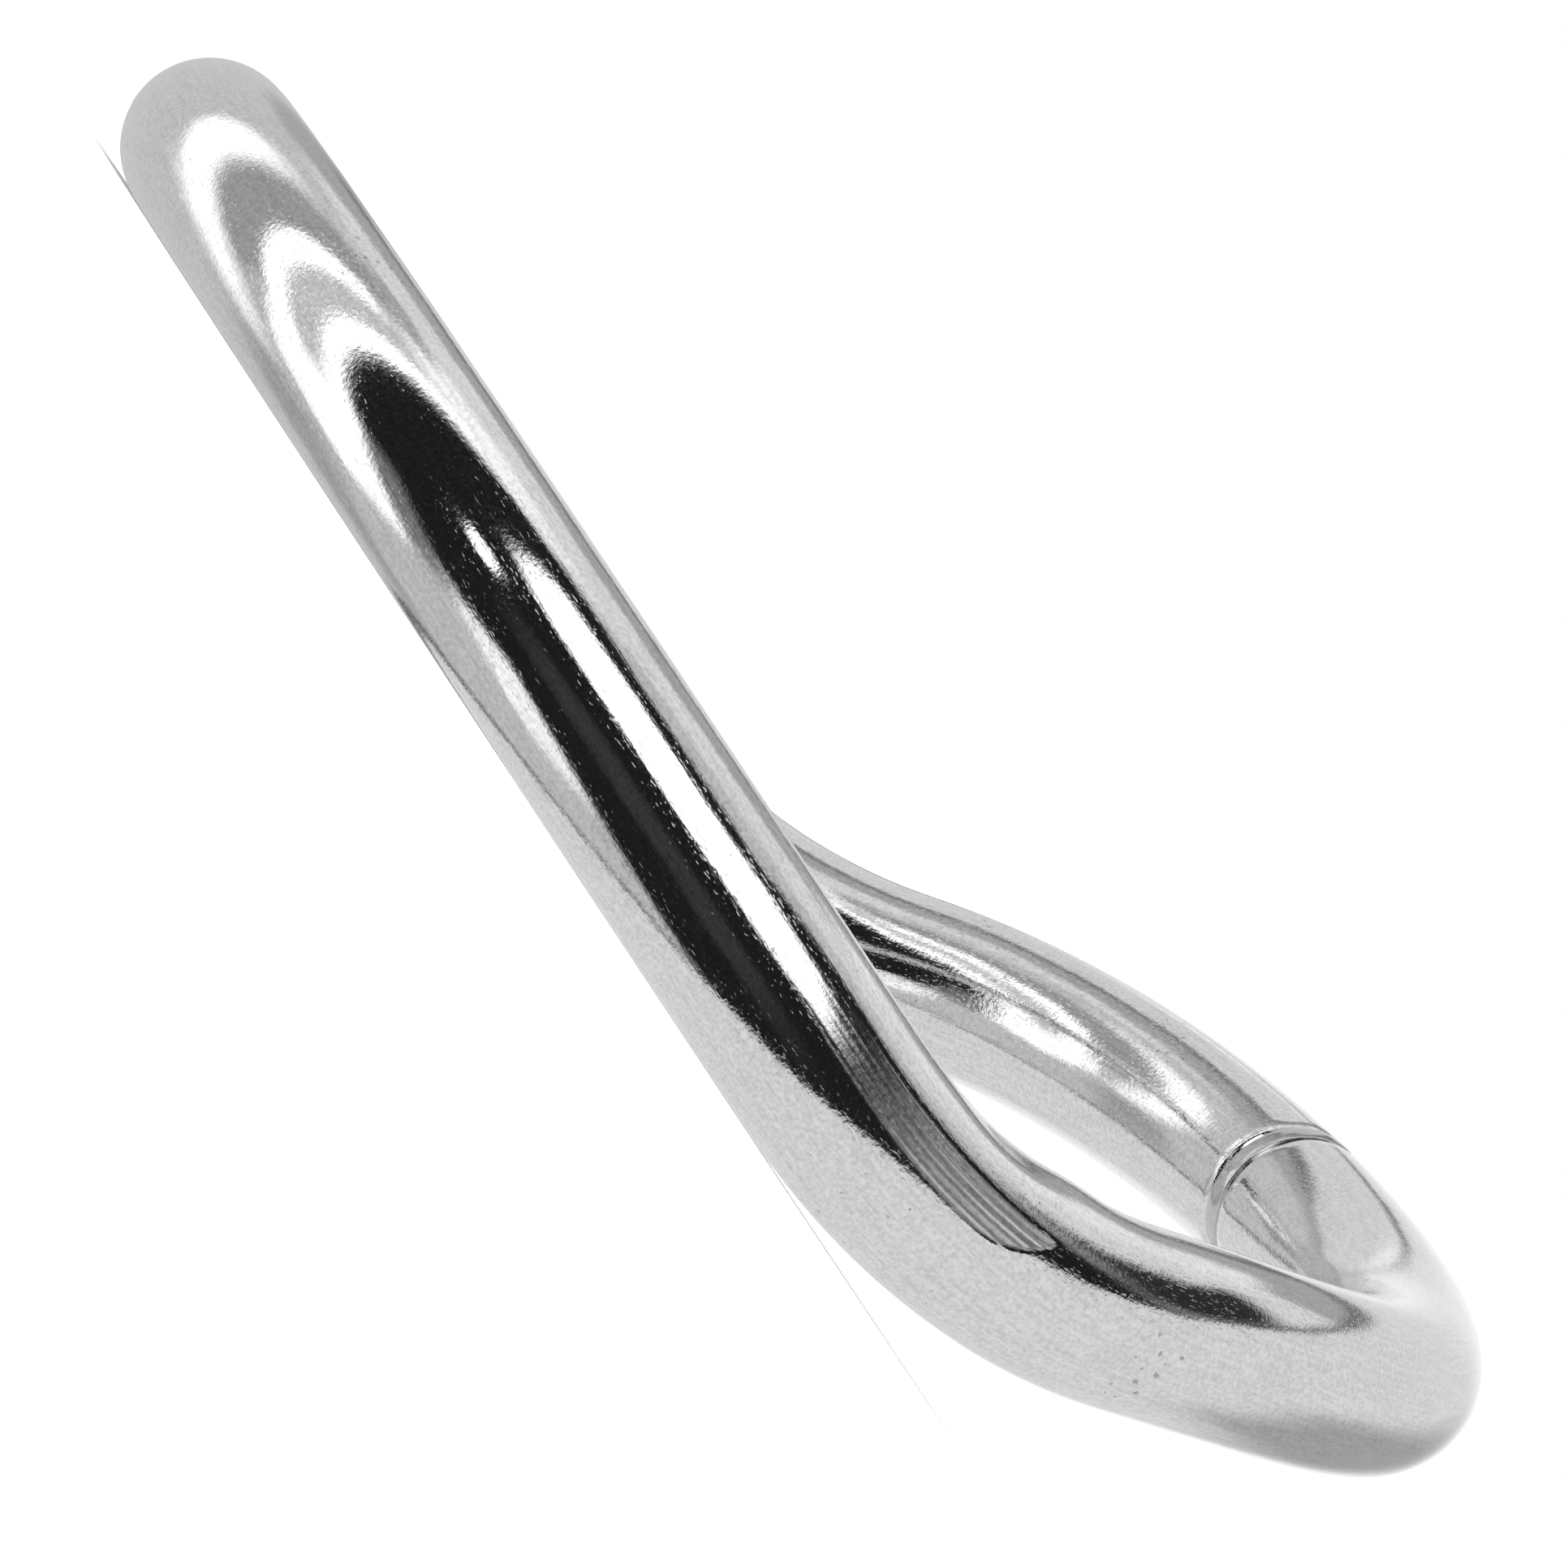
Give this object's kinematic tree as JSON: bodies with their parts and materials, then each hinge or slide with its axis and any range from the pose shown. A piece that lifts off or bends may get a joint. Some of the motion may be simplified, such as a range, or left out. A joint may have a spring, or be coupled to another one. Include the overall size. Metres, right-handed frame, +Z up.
{
  "type": "folded puzzle ring",
  "caption": "Closed ring of thick plated steel wire, folded so that one half lies flat and the other rises as a loop; a link of a metal disentanglement puzzle.",
  "frame": {"origin": "on the resting surface, below the middle of the ring's box", "axes": "+Z up from the resting surface, +X towards the raised loop, Y across the ring along the fold"},
  "size_m": [0.041, 0.0428, 0.0115],
  "materials": {
    "plated_wire": "bright nickel plate over drawn wire, with fine lengthwise grain, pits and light scratches",
    "weld": "thin dressed and plated weld band, duller than the wire"
  },
  "bodies": {
    "root": {"ring_wire": "plated_wire", "butt_weld": "weld"}
  },
  "joints": []
}
